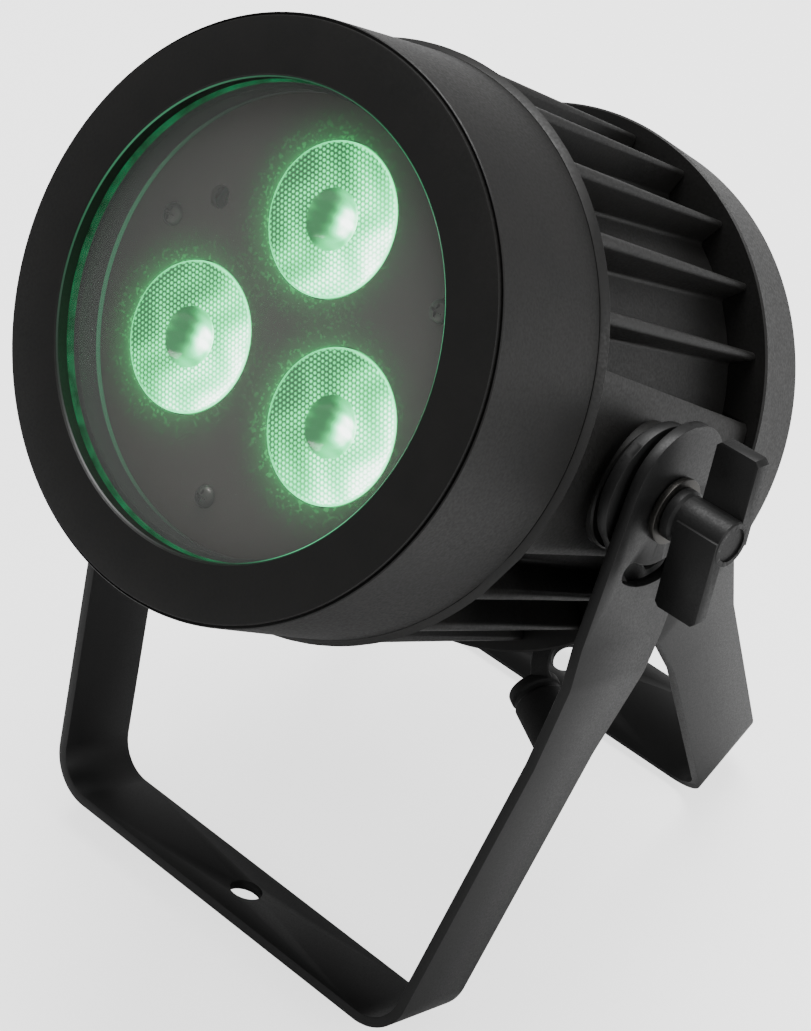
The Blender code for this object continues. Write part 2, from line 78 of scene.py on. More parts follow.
# Across one lens, in millimetres: the honeycomb, the well in the middle, the rim and the face's depth.
DIMPLE_PITCH = 1.35
DIMPLE_HEIGHT = 0.16
WELL_RADIUS = 7.8
RIM_RADIUS = 18.9
FACE_DEPTH = 17.05

ROUND = 192
SMALL = 64
PLATE_CELLS = 150

PIVOT = Vector(frame["record"]["behaviour"]["joints"][0]["pos_m"])
HEAD = Matrix.Translation(PIVOT) @ Matrix.Rotation(math.pi / 2 - HEAD_TILT, 4, "X")


# ---- materials ------------------------------------------------------------------------------

def linear(code):
    """An sRGB hex colour as linear RGBA."""
    values = [int(code[i:i + 2], 16) / 255 for i in (1, 3, 5)]
    return (*[v / 12.92 if v <= 0.04045 else ((v + 0.055) / 1.055) ** 2.4 for v in values], 1.0)


def add_node(tree, kind, settings=None, values=None, links=None):
    """Add a node with its settings, socket values and incoming links."""
    node = tree.nodes.new("ShaderNode" + kind)
    for name, value in (settings or {}).items():
        setattr(node, name, value)
    for socket, value in (values or {}).items():
        node.inputs[socket].default_value = value
    for socket, source in (links or {}).items():
        tree.links.new(source, node.inputs[socket])
    return node


def new_finish(name, values):
    made = bpy.data.materials.new(name)
    made.use_nodes = True
    made.cycles.emission_sampling = "NONE"
    tree = made.node_tree
    shader = tree.nodes["Principled BSDF"]
    for socket, value in values.items():
        shader.inputs[socket].default_value = value
    place = add_node(tree, "TexCoord").outputs["Object"]
    return made, tree, shader, place


def grain(tree, place, size, detail=3.0):
    """Noise whose lumps are about `size` metres across."""
    return add_node(tree, "TexNoise", values={"Scale": 1 / size, "Detail": detail},
                    links={"Vector": place}).outputs["Fac"]


def spread(tree, source, low, high, from_low=0.3, from_high=0.7):
    return add_node(tree, "MapRange", values={"From Min": from_low, "From Max": from_high, "To Min": low,
                                              "To Max": high}, links={"Value": source}).outputs["Result"]


def mix(tree, factor, first, second):
    node = add_node(tree, "Mix", {"data_type": "RGBA"}, links={"Factor": factor})
    node.inputs["A"].default_value = linear(first)
    node.inputs["B"].default_value = linear(second)
    return node.outputs["Result"]


def coated(name, dark, light, rough, texture, height):
    """A coat with a fine surface texture: colour and gloss drift a little, and the bump carries the grain."""
    made, tree, shader, place = new_finish(name, {"Metallic": 0.0, "IOR": 1.45,
                                                    "Specular IOR Level": 0.38})
    drift = grain(tree, place, 12 * MM)
    fine = grain(tree, place, texture, 2.0)
    tree.links.new(mix(tree, spread(tree, drift, 0, 1), dark, light), shader.inputs["Base Color"])
    tree.links.new(spread(tree, fine, rough - 0.07, rough + 0.07), shader.inputs["Roughness"])
    bump = add_node(tree, "Bump", values={"Strength": 1.0, "Distance": height}, links={"Height": fine})
    tree.links.new(bump.outputs["Normal"], shader.inputs["Normal"])
    return made


def powder_coat():
    """Polyester powder coat on the castings: a fine leathery grain about 0.8 mm across, semi-matt."""
    return coated("black_powder_coat", "#131312", "#181716", 0.47, 0.8 * MM, 0.02 * MM)


def bracket_coat():
    """Thin satin powder coat on sheet steel: smoother than the castings, with a wide soft highlight."""
    return coated("satin_bracket_coat", "#121212", "#151515", 0.44, 0.5 * MM, 0.008 * MM)


def moulded_nylon():
    """Glass-filled nylon from a spark-eroded mould: a matt pebbled skin, pebbles about 0.6 mm."""
    return coated("moulded_nylon", "#131313", "#1a1a1a", 0.5, 0.6 * MM, 0.04 * MM)


def matt_inner():
    """Black inner walls, dull so that they throw no light back."""
    return coated("matt_black_inner", "#101110", "#141514", 0.6, 0.6 * MM, 0.01 * MM)


def moulded_rubber():
    """Compression-moulded rubber: dull, dusty black with a faint tooth."""
    return coated("moulded_rubber", "#131313", "#1a1a1a", 0.72, 0.4 * MM, 0.02 * MM)


def zinc_steel():
    """Zinc plate on turned steel: bright with fine uneven polish, passivated slightly warm."""
    made, tree, shader, place = new_finish("zinc_plated_steel", {"Metallic": 1.0})
    fine = grain(tree, place, 0.5 * MM)
    tree.links.new(mix(tree, fine, "#8d8d88", "#b5b4ae"), shader.inputs["Base Color"])
    tree.links.new(spread(tree, fine, 0.24, 0.42), shader.inputs["Roughness"])
    return made


def black_steel():
    """Black oxide on screw heads: near-black metal with an oily shine."""
    made, tree, shader, place = new_finish("black_oxide_steel", {"Metallic": 1.0})
    fine = grain(tree, place, 0.5 * MM)
    tree.links.new(mix(tree, fine, "#3a3937", "#5c5a57"), shader.inputs["Base Color"])
    tree.links.new(spread(tree, fine, 0.3, 0.5), shader.inputs["Roughness"])
    return made


def plate_coat():
    """Smooth warm grey coat on the lens plate, tinted by the green light that spills round each lens."""
    made, tree, shader, place = new_finish("warm_grey_plate_coat", {"Metallic": 0.0, "Roughness": 0.55})
    blotch = grain(tree, place, 4 * MM, 2.0)
    tree.links.new(mix(tree, blotch, "#322a27", "#39312d"), shader.inputs["Base Color"])
    spill = add_node(tree, "Attribute", {"attribute_name": "spill"}).outputs["Fac"]
    specks = spread(tree, grain(tree, place, 0.8 * MM, 0.0), 0.65, 1.9, 0.60, 0.74)
    lit = add_node(tree, "Math", {"operation": "MULTIPLY"}, links={0: spill, 1: specks}).outputs["Value"]
    tree.links.new(lit, shader.inputs["Emission Strength"])
    shader.inputs["Emission Color"].default_value = linear("#00b350")
    return made


def front_glass():
    """Toughened soda-lime glass, 2 mm: almost invisible face on, slightly green."""
    made, _, shader, _ = new_finish("toughened_glass", {"Metallic": 0.0, "Roughness": 0.03, "IOR": 1.52})
    shader.inputs["Base Color"].default_value = linear("#f1f5f0")
    shader.inputs["Alpha"].default_value = 0.06
    return made


def glass_edge():
    """The cut edge of the glass, which gathers the green light and shows as a bright line."""
    made, tree, shader, place = new_finish("lit_glass_edge", {"Roughness": 0.2, "Emission Strength": 0.6})
    streaks = spread(tree, grain(tree, place, 6 * MM), 0, 1)
    tree.links.new(mix(tree, streaks, "#003a1a", "#18955a"), shader.inputs["Emission Color"])
    shader.inputs["Base Color"].default_value = linear("#0c2a1c")
    return made


def lit_lip():
    """Green light caught on a painted edge: only a line, and only where a lens faces it."""
    made, tree, shader, _ = new_finish("lit_opening_edge", {"Roughness": 0.4, "Emission Strength": 1.2})
    glow = add_node(tree, "Attribute", {"attribute_name": "glow"}).outputs["Fac"]
    tree.links.new(mix(tree, glow, "#000000", "#55e8a0"), shader.inputs["Emission Color"])
    shader.inputs["Base Color"].default_value = linear("#161616")
    return made


def lit_lens():
    """Moulded acrylic lens, lit from inside: green between the facets, burnt out where they face the chip."""
    made, tree, shader, _ = new_finish("lit_acrylic_lens", {"Roughness": 0.16, "IOR": 1.49})
    glow = add_node(tree, "Attribute", {"attribute_name": "glow"}).outputs["Fac"]
    ramp = add_node(tree, "ValToRGB", links={"Fac": glow})
    stops = ((0.0, "#00401c"), (0.25, "#00a64c"), (0.5, "#06ee80"), (0.75, "#62ffaa"), (1.0, "#f6fffa"))
    ramp.color_ramp.elements[0].color = linear(stops[0][1])
    ramp.color_ramp.elements[1].color = linear(stops[-1][1])
    for position, code in stops[1:-1]:
        ramp.color_ramp.elements.new(position).color = linear(code)
    tree.links.new(ramp.outputs["Color"], shader.inputs["Emission Color"])
    burnt = add_node(tree, "Math", {"operation": "POWER"}, {1: 2.5}, {0: glow}).outputs["Value"]
    tree.links.new(spread(tree, burnt, 0.9, 6.5, 0.0, 1.0), shader.inputs["Emission Strength"])
    shader.inputs["Base Color"].default_value = linear("#12402a")
    return made


def lit_chip():
    """The LED under its silicone dome, burnt out to near white."""
    made, tree, shader, place = new_finish("lit_led_dome", {"Roughness": 0.2, "Emission Strength": 3.0})
    patchy = grain(tree, place, 1.5 * MM)
    tree.links.new(mix(tree, patchy, "#b8ffda", "#f4fff9"), shader.inputs["Emission Color"])
    return made


def board_mask():
    """Green solder mask on a printed board: glossy, with a faint weave under it."""
    made, tree, shader, place = new_finish("solder_mask", {"Roughness": 0.35})
    waves = add_node(tree, "TexWave", values={"Scale": 1 / (1.2 * MM)}, links={"Vector": place})
    tree.links.new(mix(tree, waves.outputs["Fac"], "#0d3a24", "#124a2e"), shader.inputs["Base Color"])
    return made


FINISH = {
    "paint": powder_coat(), "bracket": bracket_coat(), "inner": matt_inner(), "plastic": moulded_nylon(),
    "rubber": moulded_rubber(), "steel": zinc_steel(), "black_steel": black_steel(), "plate": plate_coat(),
    "glass": front_glass(), "edge": glass_edge(), "lip": lit_lip(), "lens": lit_lens(), "led": lit_chip(),
    "board": board_mask(),
}


# ---- mesh tools -----------------------------------------------------------------------------

def around(angle, radius):
    """A point across the head: angle in degrees from the lamp's top towards +X."""
    turn = math.radians(angle)
    return (radius * math.sin(turn), radius * math.cos(turn))


def arc(centre, radius, start, end, steps):
    turns = [math.radians(start + (end - start) * i / steps) for i in range(steps + 1)]
    return [(centre[0] + radius * math.cos(t), centre[1] + radius * math.sin(t)) for t in turns]


def circle(centre, radius, segments):
    return arc(centre, radius, 0, 360, segments)[:-1]


def turn_shape(mesh, outline, segments, place):
    """Turn an outline of (radius, height) about Z; a radius of 0 is a point on the axis."""
    rings = []
    for radius, height in outline:
        spots = circle((0, 0), radius, segments if radius > 0 else 1)
        rings.append([mesh.verts.new(place @ Vector((x, y, height))) for x, y in spots])
    pairs = list(zip(rings, rings[1:]))
    if outline[0][0] > 0:
        pairs.append((rings[-1], rings[0]))
    for first, second in pairs:
        for i in range(segments):
            j = (i + 1) % segments
            corners = [first[i % len(first)], first[j % len(first)],
                       second[j % len(second)], second[i % len(second)]]
            mesh.faces.new(list(dict.fromkeys(corners)))


def prism(mesh, outline, low, high, place=Matrix()):
    ends = []
    for height in (low, high):
        ends.append([mesh.verts.new(place @ Vector((x, y, height))) for x, y in outline])
        mesh.faces.new(ends[-1])
    for i in range(len(outline)):
        j = (i + 1) % len(outline)
        mesh.faces.new((ends[0][i], ends[0][j], ends[1][j], ends[1][i]))


def add_piece(name, mesh, place, body, nodes, finish):
    """Make the piece, put it in place, say what it rides on, and hide the frame's nodes that it stands for.
    """
    bmesh.ops.recalc_face_normals(mesh, faces=mesh.faces)
    data = bpy.data.meshes.new(name)
    mesh.to_mesh(data)
    mesh.free()
    data.shade_smooth()
    data.set_sharp_from_angle(angle=math.radians(32))
    piece = bpy.data.objects.new(name, data)
    bpy.context.scene.collection.objects.link(piece)
    piece.matrix_world = place
    data.materials.append(FINISH[finish])
    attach(piece, body)
    if nodes:
        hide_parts(*nodes)
    return piece


def cut(piece, mesh, operation="DIFFERENCE"):
    """Apply a Boolean with a passing tool shape."""
    bmesh.ops.recalc_face_normals(mesh, faces=mesh.faces)
    data = bpy.data.meshes.new("tool")
    mesh.to_mesh(data)
    mesh.free()
    tool = bpy.data.objects.new("tool", data)
    bpy.context.scene.collection.objects.link(tool)
    tool.matrix_world = piece.matrix_world
    step = piece.modifiers.new("cut", "BOOLEAN")
    step.operation = operation
    step.object = tool
    step.solver = "EXACT"
    step.use_self = True
    bake(piece)
    bpy.data.objects.remove(tool, do_unlink=True)


def bake(piece):
    """Replace the piece's mesh with the evaluated one."""
    bpy.context.view_layer.update()
    done = bpy.data.meshes.new_from_object(piece.evaluated_get(bpy.context.evaluated_depsgraph_get()))
    piece.modifiers.clear()
    piece.data = done
    done.shade_smooth()
    done.set_sharp_from_angle(angle=math.radians(32))


def soften(piece, width):
    """Break the sharp edges, as a coat or a mould does."""
    step = piece.modifiers.new("broken_edges", "BEVEL")
    step.width = width
    step.segments = 3
    step.limit_method = "ANGLE"
    step.angle_limit = math.radians(40)
    step.harden_normals = True
    bake(piece)


def turned(name, section, nodes, finish, centre=(0, 0), segments=SMALL, body="head"):
    mesh = bmesh.new()
    outline = [(radius, PIVOT_DEPTH - depth) for radius, depth in section]
    turn_shape(mesh, outline, segments, Matrix.Translation((*centre, 0)))
    return add_piece(name, mesh, HEAD, body, nodes, finish)


def outward(side):
    return Matrix.Rotation(side * math.pi / 2, 4, "Y")


def eased(points, size, steps=3):
    """Round every corner of a closed outline by about `size`."""
    result = []
    count = len(points)
    for i, point in enumerate(points):
        here = Vector(point)
        if here.x == 0:
            result.append(tuple(here))
            continue
        before = Vector(points[i - 1]) - here
        after = Vector(points[(i + 1) % count]) - here
        reach = min(size, before.length * 0.45, after.length * 0.45)
        start = here + before.normalized() * reach
        end = here + after.normalized() * reach
        for k in range(steps + 1):
            t = k / steps
            result.append(tuple(start * (1 - t) ** 2 + here * 2 * t * (1 - t) + end * t ** 2))
    return result


def mm(*pairs):
    return [(a * MM, b * MM) for a, b in pairs]


# ---- front ----------------------------------------------------------------------------------

def make_front():
    """The front ring with a fine groove round its face, the glass and the parts that hold it."""
    groove = mm((73.6, 0), (73.95, 0.15), (74.1, 0.5), (74.1, 1.6), (74.7, 1.6), (74.75, 1.0), (75.0, 1.3))
    turned("front_ring", mm((59.3, 0.4), (59.7, 0)) + groove + mm(
        (76.15, 41.1), (71, 41.1), (71, 24), (66, 20), (63.6, 20), (63.6, 4.5), (59.3, 4.5)),
        ["front_housing"], "paint", segments=ROUND)
    turned("clear_front_glass", eased(mm((0, 4.8), (63.3, 4.8), (63.3, 6.9), (0, 6.9)), 0.3 * MM),
           ["front_glass"], "glass", segments=ROUND)
    turned("bright_glass_edge", mm((58.9, 6.15), (63.2, 6.15), (63.2, 6.8), (58.9, 6.8)), [], "edge",
           segments=ROUND)
    turned("glass_gasket_ring", eased(mm((57.7, 7.2), (63.3, 7.2), (63.3, 8.0), (57.7, 8.0)), 0.2 * MM),
           ["glass_gasket"], "rubber", segments=ROUND)
    turned("glass_retainer_sleeve", eased(mm((58.3, 8.3), (63.3, 8.3), (63.3, 16.5), (58.3, 16.5)), 0.3 * MM),
           ["glass_retainer"], "inner", segments=ROUND)
    turned("housing_seal_ring", eased(mm((66.2, 39.1), (70.7, 39.1), (70.7, 41.1), (66.2, 41.1)), 0.5 * MM),
           ["housing_seal"], "rubber", segments=ROUND)


def make_lit_line(name, section, peaks):
    """A line of lens light caught on an edge of the opening; a peak is an angle, a width and a strength."""
    line = turned(name, section, [], "lip", segments=ROUND)
    glow = []
    for vertex in line.data.vertices:
        angle = math.degrees(math.atan2(vertex.co.x, vertex.co.y))
        glow.append(min(1.0, sum(size * math.exp(-((angle - at) / width) ** 2) for at, width, size in peaks)))
    line.data.attributes.new("glow", "FLOAT", "POINT").data.foreach_set("value", glow)


def make_lip_glow():
    """Lens light on the edge of the opening and on the far end of the black sleeve."""
    make_lit_line("lit_opening_edge", mm((59.0, 0.75), (59.32, 0.35), (59.32, 0.75)), (
        (66, 14, 1.0), (30, 30, 0.25), (128, 14, 0.8), (100, 20, 0.12), (-60, 40, 0.22)))
    make_lit_line("lit_sleeve_edge", mm((58.15, 14.8), (58.35, 14.7), (58.35, 16.3), (58.15, 16.2)), (
        (-95, 36, 0.13), (-140, 30, 0.08)))


def spill_at(x, y):
    """How strongly the lenses light the plate at a point."""
    total = 0.0
    for angle in LENS_ANGLES:
        cx, cy = around(angle, LENS_PITCH)
        away = (math.hypot(x - cx, y - cy) - LENS_RADIUS) / MM
        side = 0.60 - 0.40 * math.cos(math.atan2(y - cy, x - cx) - math.radians(20))
        total += side * (0.9 * math.exp(-max(away, 0) / 1.0) + 0.35 * math.exp(-(away / 5.5) ** 2))
    return min(total, 1.0)


def make_plate():
    """The sheet behind the glass, cut into small cells so that each corner can hold its share of the painted
    green lens light.
    """
    radius = 63.3 * MM
    mesh = bmesh.new()
    turn_shape(mesh, [(0, PIVOT_DEPTH - 18.8 * MM), (radius, PIVOT_DEPTH - 18.8 * MM),
                      (radius, PIVOT_DEPTH - 16.8 * MM), (0, PIVOT_DEPTH - 16.8 * MM)], ROUND, Matrix())
    plate = add_piece("perforated_lens_plate", mesh, HEAD, "head", ["lens_plate"], "plate")
    holes = bmesh.new()
    low = PIVOT_DEPTH - 30 * MM
    high = PIVOT_DEPTH - 10 * MM
    for angle in LENS_ANGLES:
        prism(holes, circle(around(angle, LENS_PITCH), LENS_RADIUS + 0.3 * MM, 128), low, high)
    for place in SCREW_PLACES:
        prism(holes, circle(around(*place), 1.9 * MM, 32), low, high)
    prism(holes, circle(around(*RECESSED_PLACE), 3.0 * MM, 48), low, high)
    cut(plate, holes)
    soften(plate, 0.25 * MM)
    mesh = bmesh.new()
    mesh.from_mesh(plate.data)
    for i in range(1, PLATE_CELLS):
        offset = -radius + 2 * radius * i / PLATE_CELLS
        for point, normal in (((offset, 0, 0), (1, 0, 0)), ((0, offset, 0), (0, 1, 0))):
            bmesh.ops.bisect_plane(mesh, geom=mesh.verts[:] + mesh.edges[:] + mesh.faces[:],
                                   plane_co=point, plane_no=normal, dist=1e-7)
    mesh.to_mesh(plate.data)
    mesh.free()
    # painted light: how strongly the lenses light each corner of the plate, shown as green emission
    spill = plate.data.attributes.new("spill", "FLOAT", "POINT")
    spill.data.foreach_set("value", [spill_at(v.co.x, v.co.y) for v in plate.data.vertices])


def dimple(x, y):
    """Height from 0 to 1 over a honeycomb of small domes, at a point across the lens."""
    row = DIMPLE_PITCH * math.sqrt(3) / 2
    best = 9.0
    base = round(y / row)
    for k in (base - 1, base, base + 1):
        shift = 0.5 * DIMPLE_PITCH if k % 2 else 0.0
        nearest = round((x - shift) / DIMPLE_PITCH) * DIMPLE_PITCH + shift
        best = min(best, math.hypot(x - nearest, y - k * row))
    return max(0.0, 1 - (best / (0.56 * DIMPLE_PITCH)) ** 2)


def lens_light(x, y, away, depth, number):
    """How bright the lens looks at a point: dark dots to the left, burnt out to the right."""
    if depth > 23 or away > 19.45:
        return 0.35
    if away > RIM_RADIUS:
        return 0.66 + 0.16 * x / 19.5
    if depth < FACE_DEPTH and away > WELL_RADIUS:
        side = 0.5 + 0.5 * (x * 0.94 - y * 0.34) / 19.5
        wave = 0.07 * math.sin(0.45 * x + 1.5 * math.sin(0.33 * y + 2 * number))
        dots = (1 - dimple(x, y)) * (1.05 - 0.85 * side)
        return min(1.0, max(0.05, 0.60 + 0.42 * side + wave - dots))
    spot = math.hypot(x - 1.8, y - 0.4)
    well = 0.55 + 0.45 * math.exp(-(spot / 4.2) ** 4)
    shade = math.exp(-((x + 5.2) / 3.2) ** 2) * min(1.0, spot / 3.5)
    return max(0.10, well - 0.52 * shade + 0.05 * math.sin(2.1 * y + number))


def make_lenses():
    """Three lit lenses, each with its black cup and the LED dome behind it."""
    face_radii = [7.9 + 0.2 * i for i in range(58)]
    section = [(0, 21.2), (1.5, 21.1), (3.0, 20.7), (4.4, 20.0), (5.6, 19.2), (6.6, 18.3), (7.3, 17.6),
               (7.7, 17.1)]
    section += [(r, 16.9) for r in face_radii]
    section += [(19.4, 17.0), (19.5, 17.3), (19.5, 19.1), (18.3, 19.4), (14.2, 28.0), (7.2, 36.4),
                (5.2, 36.4), (5.0, 32.0), (0, 30.5)]
    for number, angle in enumerate(LENS_ANGLES, 1):
        cx, cy = around(angle, LENS_PITCH)
        lens = turned("dimpled_lens_%d" % number, mm(*section), ["lens_%d" % number], "lens",
                      (cx, cy), LENS_SEGMENTS)
        glow = []
        for vertex in lens.data.vertices:
            x, y = (vertex.co.x - cx) / MM, (vertex.co.y - cy) / MM
            away = math.hypot(x, y)
            depth = (PIVOT_DEPTH - vertex.co.z) / MM
            if depth < FACE_DEPTH and away > WELL_RADIUS:
                vertex.co.z += DIMPLE_HEIGHT * MM * dimple(x, y)
            glow.append(lens_light(x, y, away, depth, number))
        shine = lens.data.attributes.new("glow", "FLOAT", "POINT")
        shine.data.foreach_set("value", glow)
        turned("lens_holder_cup_%d" % number, mm(
            (19.0, 19.4), (15.0, 28.4), (8.0, 37.0), (8.0, 39.2), (10.5, 39.2), (20.9, 21.5), (20.9, 19.4)),
            ["lens_holder_%d" % number], "inner", (cx, cy))
        turned("led_dome_%d" % number, mm((0, 35.2), (1.5, 35.4), (2.7, 36.1), (3.5, 37.0), (3.8, 37.6),
                                          (4.6, 37.7), (4.6, 39.2), (0, 39.2)),
               ["led_%d" % number], "led", (cx, cy))


def add_recess(piece, centre, depth, reach):
    """Cut a cross recess into a screw head, down from `depth` back along the axis."""
    mesh = bmesh.new()
    for size in ((reach, 0.22 * reach), (0.22 * reach, reach)):
        corners = [(-size[0], -size[1]), (size[0], -size[1]), (size[0], size[1]), (-size[0], size[1])]
        outline = [(centre[0] + x, centre[1] + y) for x, y in corners]
        prism(mesh, outline, PIVOT_DEPTH - depth - 1.0 * MM, PIVOT_DEPTH - depth + 3 * MM)
    cut(piece, mesh)


def make_plate_screws():
    """Three domed screws on their standoffs, and one screw sunk below the plate."""
    for number, place in enumerate(SCREW_PLACES, 1):
        centre = around(*place)
        screw = turned("plate_screw_head_%d" % number, mm(
            (0, 14.6), (1.2, 14.7), (2.2, 15.1), (2.8, 15.8), (3.0, 16.5), (1.5, 16.5), (1.5, 27), (0, 27)),
            ["plate_screw_%d" % number], "black_steel", centre, 32)
        add_recess(screw, centre, 14.6 * MM, 1.7 * MM)
        turned("threaded_standoff_%d" % number, eased(mm((1.8, 19.1), (3.2, 19.1), (3.2, 39.2), (1.8, 39.2)),
                                                      0.3 * MM),
               ["plate_standoff_%d" % number], "steel", centre, 32)
    centre = around(*RECESSED_PLACE)
    turned("recessed_screw_head", mm((0, 20.6), (1.2, 20.7), (2.2, 21.3), (2.9, 22.8), (1.5, 23), (1.5, 39.2),
                                     (0, 39.2)), ["recessed_screw"], "steel", centre, 32)


# ---- heatsink and rear ----------------------------------------------------------------------

def fin_outline(tip, half, boss_top, boss_bottom):
    """The finned outline across the head with rounded fin edges and filleted roots."""
    points = []

    def add_fin(angle):
        fillet = 1.2 * MM
        shape = [(-half - fillet, CORE_RADIUS)]
        shape += [(-half - fillet + fillet * math.sin(t), CORE_RADIUS + fillet * (1 - math.cos(t)))
                  for t in (0.5, 1.0, 1.5)]
        rim = arc((0, tip - half), half, 180, 0, 8)
        shape += rim
        shape += [(-x, y) for x, y in reversed(shape[:4])]
        turn = math.radians(angle)
        for across, out in shape:
            points.append((out * math.sin(turn) + across * math.cos(turn),
                           out * math.cos(turn) - across * math.sin(turn)))

    def add_boss(start, end):
        points.append(around(start - 0.6, CORE_RADIUS))
        for i in range(31):
            ease = tip - (0.6 * MM if i in (0, 30) else 0)
            points.append(around(start + (end - start) * i / 30, ease))
        points.append(around(end + 0.6, CORE_RADIUS))

    for step in range(360 // FIN_PITCH):
        angle = step * FIN_PITCH
        if angle == 90:
            add_boss(boss_top, boss_bottom)
        elif angle == 270:
            add_boss(360 - boss_bottom, 360 - boss_top)
        elif abs(angle - 90) > FIN_PITCH and abs(angle - 270) > FIN_PITCH:
            add_fin(angle)
        if angle not in (75, 90, 105, 255, 270, 285):
            points.extend(around(angle + FIN_PITCH * k / 8, CORE_RADIUS) for k in (3, 4, 4.6))
    return points


def make_heatsink():
    """The casting behind the seam: a flange, tapering fins, two side bosses and the pivot pads."""
    front = fin_outline(76.7 * MM, 2.0 * MM, 69.5, 107.3)
    rear = fin_outline(73.1 * MM, 1.1 * MM, 74.2, 106.3)
    turns = [math.atan2(x, y) for x, y in front]

    def ring(radius):
        return [(radius * math.sin(t), radius * math.cos(t)) for t in turns]

    loops = [(ring(70 * MM), SEAM_DEPTH), (ring(76.2 * MM), SEAM_DEPTH),
             (ring(76.5 * MM), SEAM_DEPTH + 0.3 * MM), (ring(77.6 * MM), 43.6 * MM),
             (ring(77.4 * MM), 44 * MM), (front, 44 * MM), (rear, FIN_REAR), (ring(54 * MM), FIN_REAR),
             (ring(54 * MM), 56 * MM)]
    mesh = bmesh.new()
    rows = [[mesh.verts.new((x, y, PIVOT_DEPTH - depth)) for x, y in loop] for loop, depth in loops]
    for row, following in zip(rows, rows[1:]):
        for i in range(len(front)):
            j = (i + 1) % len(front)
            mesh.faces.new((row[i], row[j], following[j], following[i]))
    mesh.faces.new(rows[0])
    mesh.faces.new(rows[-1])
    add_piece("finned_heatsink", mesh, HEAD, "head", ["heatsink_housing"], "paint")
    for side, tag in ((1, "right"), (-1, "left")):
        mesh = bmesh.new()
        outline = mm((4.3, 69), (17.25, 69), (17.25, 76.5), (16.75, 77), (4.3, 77))
        turn_shape(mesh, outline, SMALL, outward(side))
        add_piece("pivot_pad_" + tag, mesh, HEAD, "head", [], "paint")


def make_rear():
    """The end cap with its sockets, dust cap, breather and four sunk screws."""
    edge = arc((71.0 * MM, 147.5 * MM), 2.5 * MM, 0, 90, 8)
    section = mm((0, 146), (54, 146), (54, 126), (75.9, 126), (76.4, 126.5)) + edge + [(0, HEAD_LENGTH)]
    cap = turned("rear_end_cap", section, ["rear_cap"], "paint", segments=ROUND)
    holes = bmesh.new()
    back = PIVOT_DEPTH - HEAD_LENGTH
    for spot, radius in ((POWER_PLACE, 9.7 * MM), (DATA_PLACE, 9.7 * MM), (VENT_PLACE, 4.5 * MM)):
        prism(holes, circle(spot, radius, SMALL), back - 10 * MM, back + 10 * MM)
    for angle in CAP_SCREW_ANGLES:
        spot = Matrix.Translation((*around(angle, CAP_SCREW_RADIUS), 0))
        turn_shape(holes, [(0, back - 10 * MM), (4 * MM, back - 10 * MM), (4 * MM, back + 4.6 * MM),
                           (0, back + 4.6 * MM)], 32, spot)
    cut(cap, holes)
    turned("rear_seal_ring", eased(mm((51.7, 122.5), (53.7, 122.5), (53.7, 130), (51.7, 130)), 0.4 * MM),
           ["rear_seal"], "rubber", segments=ROUND)
    for number, angle in enumerate(CAP_SCREW_ANGLES, 1):
        centre = around(angle, CAP_SCREW_RADIUS)
        screw = turned("cap_screw_socket_head_%d" % number, mm(
            (0, 114.5), (2, 114.5), (2, 145.7), (3.6, 145.7), (3.6, 148.9), (3.3, 149.2), (0, 149.2)),
            ["cap_screw_%d" % number], "black_steel", centre, 32)
        socket = bmesh.new()
        prism(socket, circle(centre, 1.7 * MM, 6), back - 5 * MM, back + 3 * MM)
        cut(screw, socket)
    for tag, place in (("power", POWER_PLACE), ("data", DATA_PLACE)):
        turned("panel_socket_" + tag, eased(mm(
            (0, 140), (9.4, 140), (9.4, 150.3), (13, 150.3), (13, 152.5), (10, 152.5), (10, 160),
            (8.2, 160), (8.2, 151), (0, 151)), 0.35 * MM), [tag + "_socket"], "plastic", place)
    for i in range(3):
        spot = around(120 * i, 3.6 * MM)
        turned("socket_pin_%d" % (i + 1), eased(mm((0, 150.9), (0.9, 150.9), (0.9, 157), (0, 157)), 0.3 * MM),
               [], "steel", (POWER_PLACE[0] + spot[0], POWER_PLACE[1] + spot[1]), 24)
    turned("data_socket_dust_cap", eased(mm((0, 160.3), (10.3, 160.3), (10.3, 152.8), (12.5, 152.8),
                                            (12.5, 162.6), (11.5, 163.2), (0, 163.2)), 0.5 * MM),
           ["data_socket_cap"], "rubber", DATA_PLACE)
    turned("breather_vent", eased(mm((0, 144), (4.2, 144), (4.2, 150.3), (7, 150.3), (7, 152.8),
                                     (6, 153.8), (0, 153.8)), 0.3 * MM), ["vent_plug"], "plastic",
           VENT_PLACE, 48)


# ---- brackets -------------------------------------------------------------------------------

